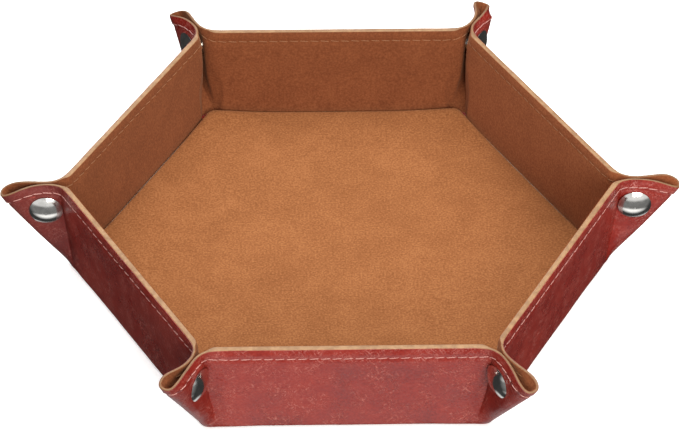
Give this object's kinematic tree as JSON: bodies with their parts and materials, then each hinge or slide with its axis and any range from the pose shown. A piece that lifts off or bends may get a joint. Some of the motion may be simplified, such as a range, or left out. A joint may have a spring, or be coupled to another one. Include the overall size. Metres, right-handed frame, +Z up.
{
  "type": "valet tray",
  "caption": "Hexagonal leather tray lined with suede: flat floor, low upright walls and pinched corner ears held by snaps, which open so that the tray lies flat.",
  "frame": {"origin": "middle of the underside of the base, on the surface that the tray stands on", "axes": "+Z up, +X from the middle towards the ear at the right, -Y towards the front wall"},
  "size_m": [0.2544, 0.2212, 0.0409],
  "materials": {
    "outer_leather": "smooth burgundy grain with a soft gloss",
    "suede_lining": "tan microsuede with a short nap",
    "stiffener_board": "raw grey board",
    "snap_metal": "polished nickel plate"
  },
  "bodies": {
    "base": {"base_leather": "outer_leather", "base_board": "stiffener_board", "base_lining": "suede_lining"},
    "wall_front": {"wall_leather_front": "outer_leather", "wall_board_front": "stiffener_board", "wall_lining_front": "suede_lining"},
    "wall_right_front": {"wall_leather_right_front": "outer_leather", "wall_board_right_front": "stiffener_board", "wall_lining_right_front": "suede_lining"},
    "wall_right_back": {"wall_leather_right_back": "outer_leather", "wall_board_right_back": "stiffener_board", "wall_lining_right_back": "suede_lining"},
    "wall_back": {"wall_leather_back": "outer_leather", "wall_board_back": "stiffener_board", "wall_lining_back": "suede_lining"},
    "wall_left_back": {"wall_leather_left_back": "outer_leather", "wall_board_left_back": "stiffener_board", "wall_lining_left_back": "suede_lining"},
    "wall_left_front": {"wall_leather_left_front": "outer_leather", "wall_board_left_front": "stiffener_board", "wall_lining_left_front": "suede_lining"},
    "ear_socket_front_right": {"ear_flap_socket_front_right": "outer_leather", "snap_cap_socket_front_right": "snap_metal", "snap_socket_front_right": "snap_metal"},
    "ear_stud_front_right": {"ear_flap_stud_front_right": "outer_leather", "snap_cap_stud_front_right": "snap_metal", "snap_stud_front_right": "snap_metal"},
    "ear_socket_right": {"ear_flap_socket_right": "outer_leather", "snap_cap_socket_right": "snap_metal", "snap_socket_right": "snap_metal"},
    "ear_stud_right": {"ear_flap_stud_right": "outer_leather", "snap_cap_stud_right": "snap_metal", "snap_stud_right": "snap_metal"},
    "ear_socket_back_right": {"ear_flap_socket_back_right": "outer_leather", "snap_cap_socket_back_right": "snap_metal", "snap_socket_back_right": "snap_metal"},
    "ear_stud_back_right": {"ear_flap_stud_back_right": "outer_leather", "snap_cap_stud_back_right": "snap_metal", "snap_stud_back_right": "snap_metal"},
    "ear_socket_back_left": {"ear_flap_socket_back_left": "outer_leather", "snap_cap_socket_back_left": "snap_metal", "snap_socket_back_left": "snap_metal"},
    "ear_stud_back_left": {"ear_flap_stud_back_left": "outer_leather", "snap_cap_stud_back_left": "snap_metal", "snap_stud_back_left": "snap_metal"},
    "ear_socket_left": {"ear_flap_socket_left": "outer_leather", "snap_cap_socket_left": "snap_metal", "snap_socket_left": "snap_metal"},
    "ear_stud_left": {"ear_flap_stud_left": "outer_leather", "snap_cap_stud_left": "snap_metal", "snap_stud_left": "snap_metal"},
    "ear_socket_front_left": {"ear_flap_socket_front_left": "outer_leather", "snap_cap_socket_front_left": "snap_metal", "snap_socket_front_left": "snap_metal"},
    "ear_stud_front_left": {"ear_flap_stud_front_left": "outer_leather", "snap_cap_stud_front_left": "snap_metal", "snap_stud_front_left": "snap_metal"}
  },
  "joints": [
    {"name": "wall_fold_front", "type": "hinge", "parent": "base", "child": "wall_front", "pos_m": [0, -0.09, 0], "axis": [1, 0, 0], "range_deg": [0, 81]},
    {"name": "wall_fold_right_front", "type": "hinge", "parent": "base", "child": "wall_right_front", "pos_m": [0.07794, -0.045, 0], "axis": [0.5, 0.866, 0], "range_deg": [0, 81]},
    {"name": "wall_fold_right_back", "type": "hinge", "parent": "base", "child": "wall_right_back", "pos_m": [0.07794, 0.045, 0], "axis": [-0.5, 0.866, 0], "range_deg": [0, 81]},
    {"name": "wall_fold_back", "type": "hinge", "parent": "base", "child": "wall_back", "pos_m": [0, 0.09, 0], "axis": [-1, 0, 0], "range_deg": [0, 81]},
    {"name": "wall_fold_left_back", "type": "hinge", "parent": "base", "child": "wall_left_back", "pos_m": [-0.07794, 0.045, 0], "axis": [-0.5, -0.866, 0], "range_deg": [0, 81]},
    {"name": "wall_fold_left_front", "type": "hinge", "parent": "base", "child": "wall_left_front", "pos_m": [-0.07794, -0.045, 0], "axis": [0.5, -0.866, 0], "range_deg": [0, 81]},
    {"name": "ear_fold_socket_front_right", "type": "hinge", "parent": "wall_front", "child": "ear_socket_front_right", "pos_m": [0.04861, -0.09, 0], "axis": [0.0332, -0.0575, 0.9978], "range_deg": [0, 56.11]},
    {"name": "ear_fold_stud_front_right", "type": "hinge", "parent": "wall_right_front", "child": "ear_stud_front_right", "pos_m": [0.05364, -0.0871, 0], "axis": [-0.0332, 0.0575, -0.9978], "range_deg": [0, 56.11]},
    {"name": "ear_fold_socket_right", "type": "hinge", "parent": "wall_right_front", "child": "ear_socket_right", "pos_m": [0.10225, -0.0029, 0], "axis": [0.0664, 0, 0.9978], "range_deg": [0, 56.11]},
    {"name": "ear_fold_stud_right", "type": "hinge", "parent": "wall_right_back", "child": "ear_stud_right", "pos_m": [0.10225, 0.0029, 0], "axis": [-0.0664, 0, -0.9978], "range_deg": [0, 56.11]},
    {"name": "ear_fold_socket_back_right", "type": "hinge", "parent": "wall_right_back", "child": "ear_socket_back_right", "pos_m": [0.05364, 0.0871, 0], "axis": [0.0332, 0.0575, 0.9978], "range_deg": [0, 56.11]},
    {"name": "ear_fold_stud_back_right", "type": "hinge", "parent": "wall_back", "child": "ear_stud_back_right", "pos_m": [0.04861, 0.09, 0], "axis": [-0.0332, -0.0575, -0.9978], "range_deg": [0, 56.11]},
    {"name": "ear_fold_socket_back_left", "type": "hinge", "parent": "wall_back", "child": "ear_socket_back_left", "pos_m": [-0.04861, 0.09, 0], "axis": [-0.0332, 0.0575, 0.9978], "range_deg": [0, 56.11]},
    {"name": "ear_fold_stud_back_left", "type": "hinge", "parent": "wall_left_back", "child": "ear_stud_back_left", "pos_m": [-0.05364, 0.0871, 0], "axis": [0.0332, -0.0575, -0.9978], "range_deg": [0, 56.11]},
    {"name": "ear_fold_socket_left", "type": "hinge", "parent": "wall_left_back", "child": "ear_socket_left", "pos_m": [-0.10225, 0.0029, 0], "axis": [-0.0664, 0, 0.9978], "range_deg": [0, 56.11]},
    {"name": "ear_fold_stud_left", "type": "hinge", "parent": "wall_left_front", "child": "ear_stud_left", "pos_m": [-0.10225, -0.0029, 0], "axis": [0.0664, 0, -0.9978], "range_deg": [0, 56.11]},
    {"name": "ear_fold_socket_front_left", "type": "hinge", "parent": "wall_left_front", "child": "ear_socket_front_left", "pos_m": [-0.05364, -0.0871, 0], "axis": [-0.0332, -0.0575, 0.9978], "range_deg": [0, 56.11]},
    {"name": "ear_fold_stud_front_left", "type": "hinge", "parent": "wall_front", "child": "ear_stud_front_left", "pos_m": [-0.04861, -0.09, 0], "axis": [0.0332, 0.0575, -0.9978], "range_deg": [0, 56.11]}
  ],
  "couplings": [
    {"joint": "wall_fold_right_front", "follows": "wall_fold_front", "ratio": 1},
    {"joint": "wall_fold_right_back", "follows": "wall_fold_front", "ratio": 1},
    {"joint": "wall_fold_back", "follows": "wall_fold_front", "ratio": 1},
    {"joint": "wall_fold_left_back", "follows": "wall_fold_front", "ratio": 1},
    {"joint": "wall_fold_left_front", "follows": "wall_fold_front", "ratio": 1},
    {"joint": "ear_fold_socket_front_right", "follows": "wall_fold_front", "ratio": 0.6927},
    {"joint": "ear_fold_stud_front_right", "follows": "wall_fold_front", "ratio": 0.6927},
    {"joint": "ear_fold_socket_right", "follows": "wall_fold_front", "ratio": 0.6927},
    {"joint": "ear_fold_stud_right", "follows": "wall_fold_front", "ratio": 0.6927},
    {"joint": "ear_fold_socket_back_right", "follows": "wall_fold_front", "ratio": 0.6927},
    {"joint": "ear_fold_stud_back_right", "follows": "wall_fold_front", "ratio": 0.6927},
    {"joint": "ear_fold_socket_back_left", "follows": "wall_fold_front", "ratio": 0.6927},
    {"joint": "ear_fold_stud_back_left", "follows": "wall_fold_front", "ratio": 0.6927},
    {"joint": "ear_fold_socket_left", "follows": "wall_fold_front", "ratio": 0.6927},
    {"joint": "ear_fold_stud_left", "follows": "wall_fold_front", "ratio": 0.6927},
    {"joint": "ear_fold_socket_front_left", "follows": "wall_fold_front", "ratio": 0.6927},
    {"joint": "ear_fold_stud_front_left", "follows": "wall_fold_front", "ratio": 0.6927}
  ]
}
